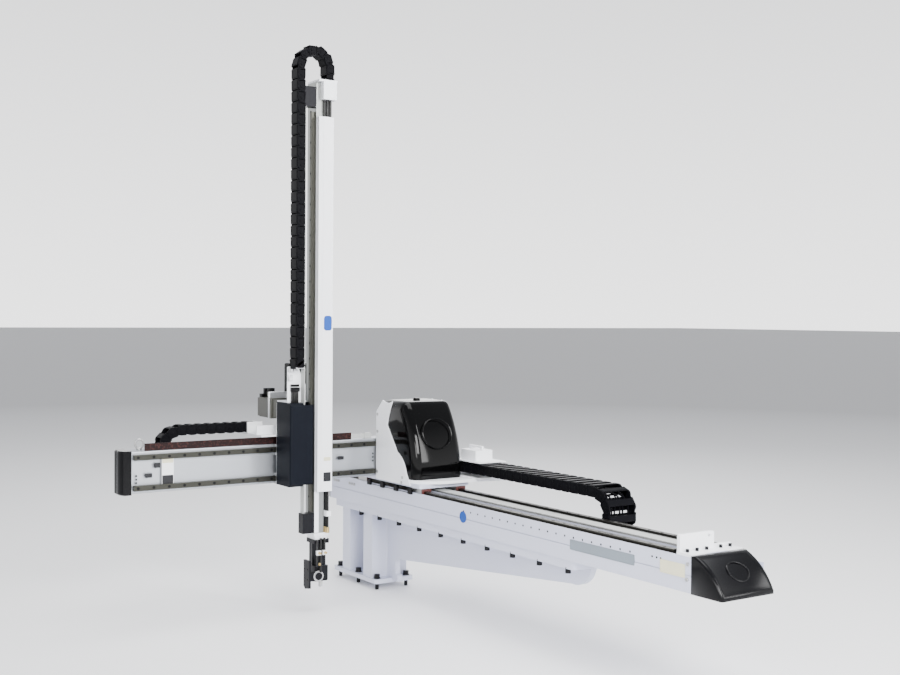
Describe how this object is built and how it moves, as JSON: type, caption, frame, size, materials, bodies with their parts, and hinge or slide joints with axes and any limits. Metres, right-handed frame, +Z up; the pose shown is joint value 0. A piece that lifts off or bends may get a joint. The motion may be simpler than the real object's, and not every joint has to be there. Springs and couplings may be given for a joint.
{
  "type": "traverse take-out robot",
  "caption": "Three-axis linear take-out robot with a traverse beam on a pedestal, a kick beam, a belt-driven vertical arm, cable chains and a tilting gripper plate.",
  "frame": {"origin": "centre of the pedestal foot's underside, in the middle of its four corner bolts", "axes": "+X along the traverse beam to its free end, -Y along the cross beam outwards, +Z up along the arm"},
  "size_m": [2.367, 1.4679, 2.2014],
  "materials": {
    "lavender_paint": "semi-gloss pale lavender enamel",
    "white_paint": "semi-gloss white enamel",
    "zinc_steel": "zinc plated",
    "rail_steel": "hardened and oiled, dark",
    "block_steel": "ground",
    "brushed_aluminium": "brushed and clear anodised",
    "black_plastic": "moulded, satin",
    "gloss_black": "high-gloss moulding",
    "motor_olive": "olive-grey motor enamel",
    "belt_grey": "reinforced toothed belt",
    "buffer_rubber": "soft rubber",
    "maroon_strip": "speckled dark maroon",
    "brass_fitting": "turned",
    "dark_steel": "black oxide"
  },
  "bodies": {
    "base": {"pedestal": "lavender_paint", "frame_bolts": "zinc_steel", "traverse_beam": "lavender_paint", "end_cap_front": "black_plastic", "end_cover_rear": "black_plastic", "traverse_rails": "rail_steel", "traverse_belt": "belt_grey", "belt_anchors": "zinc_steel", "stop_buffers": "buffer_rubber", "limit_switches": "black_plastic", "traverse_tray": "lavender_paint", "traverse_chain_fixed_run": "black_plastic", "traverse_chain_loop": "black_plastic"},
    "saddle": {"saddle_plate": "lavender_paint", "saddle_guide_blocks": "block_steel", "side_panels": "white_paint", "drive_cover": "gloss_black", "saddle_skirt": "white_paint", "traverse_drive": "motor_olive", "junction_box": "black_plastic", "chain_support": "white_paint", "traverse_chain_moving_run": "black_plastic", "cross_beam": "brushed_aluminium", "cross_rails": "rail_steel", "kick_belt": "belt_grey", "cover_strip": "maroon_strip", "cross_end_cap": "black_plastic", "lifting_eye": "zinc_steel", "cross_chain_fixed_run": "black_plastic", "cross_chain_loop": "black_plastic"},
    "traverse_pulley": {"traverse_pulley": "brushed_aluminium"},
    "carriage": {"carriage_plate": "brushed_aluminium", "cross_guide_blocks": "block_steel", "carriage_cover": "black_plastic", "lift_drive": "motor_olive", "kick_drive": "motor_olive", "kick_motor_cover": "black_plastic", "kick_deck": "white_paint", "lift_chain_bracket": "white_paint", "arm_guide_plate": "brushed_aluminium", "arm_guide_blocks": "block_steel", "cross_chain_moving_run": "black_plastic", "lift_chain_fixed_run": "black_plastic", "lift_chain_loop": "black_plastic"},
    "kick_pulley": {"kick_pulley": "brushed_aluminium"},
    "lift_pulley": {"lift_pulley": "brushed_aluminium"},
    "arm": {"arm_profile": "brushed_aluminium", "arm_rail": "rail_steel", "lift_belt": "belt_grey", "lift_belt_clamps": "zinc_steel", "arm_top_plate": "white_paint", "head_box": "white_paint", "cable_duct": "white_paint", "arm_bottom_plate": "white_paint", "arm_hoses": "black_plastic", "hose_clamp": "zinc_steel", "hose_fittings": "brass_fitting", "wrist_body": "dark_steel", "lift_chain_moving_run": "black_plastic"},
    "gripper": {"gripper_plate": "dark_steel"}
  },
  "joints": [
    {"name": "traverse", "type": "slide", "parent": "base", "child": "saddle", "axis": [1, 0, 0], "range_m": [0, 1.3], "deforming": ["traverse_chain_fixed_run", "traverse_chain_loop", "traverse_chain_moving_run"]},
    {"name": "kick", "type": "slide", "parent": "saddle", "child": "carriage", "axis": [0, 1, 0], "range_m": [-0.35, 0.15], "deforming": ["cross_chain_fixed_run", "cross_chain_loop", "cross_chain_moving_run"]},
    {"name": "lift", "type": "slide", "parent": "carriage", "child": "arm", "axis": [0, 0, 1], "range_m": [-1.1, 0], "deforming": ["lift_chain_fixed_run", "lift_chain_loop", "lift_chain_moving_run"]},
    {"name": "wrist_flip", "type": "hinge", "parent": "arm", "child": "gripper", "pos_m": [0.37, -0.465, 0.112], "axis": [1, 0, 0], "range_deg": [0, 90]},
    {"name": "traverse_pulley_spin", "type": "hinge", "parent": "saddle", "child": "traverse_pulley", "pos_m": [0.4, 0, 0.5033], "axis": [0, 1, 0], "continuous": true},
    {"name": "kick_pulley_spin", "type": "hinge", "parent": "carriage", "child": "kick_pulley", "pos_m": [0.178, -0.467, 0.64], "axis": [0, 0, 1], "continuous": true},
    {"name": "lift_pulley_spin", "type": "hinge", "parent": "carriage", "child": "lift_pulley", "pos_m": [0.35, -0.548, 0.762], "axis": [1, 0, 0], "continuous": true}
  ],
  "couplings": [
    {"joint": "traverse_pulley_spin", "follows": "traverse", "rad_per_m": 15.625},
    {"joint": "kick_pulley_spin", "follows": "kick", "rad_per_m": 50},
    {"joint": "lift_pulley_spin", "follows": "lift", "rad_per_m": 50}
  ]
}
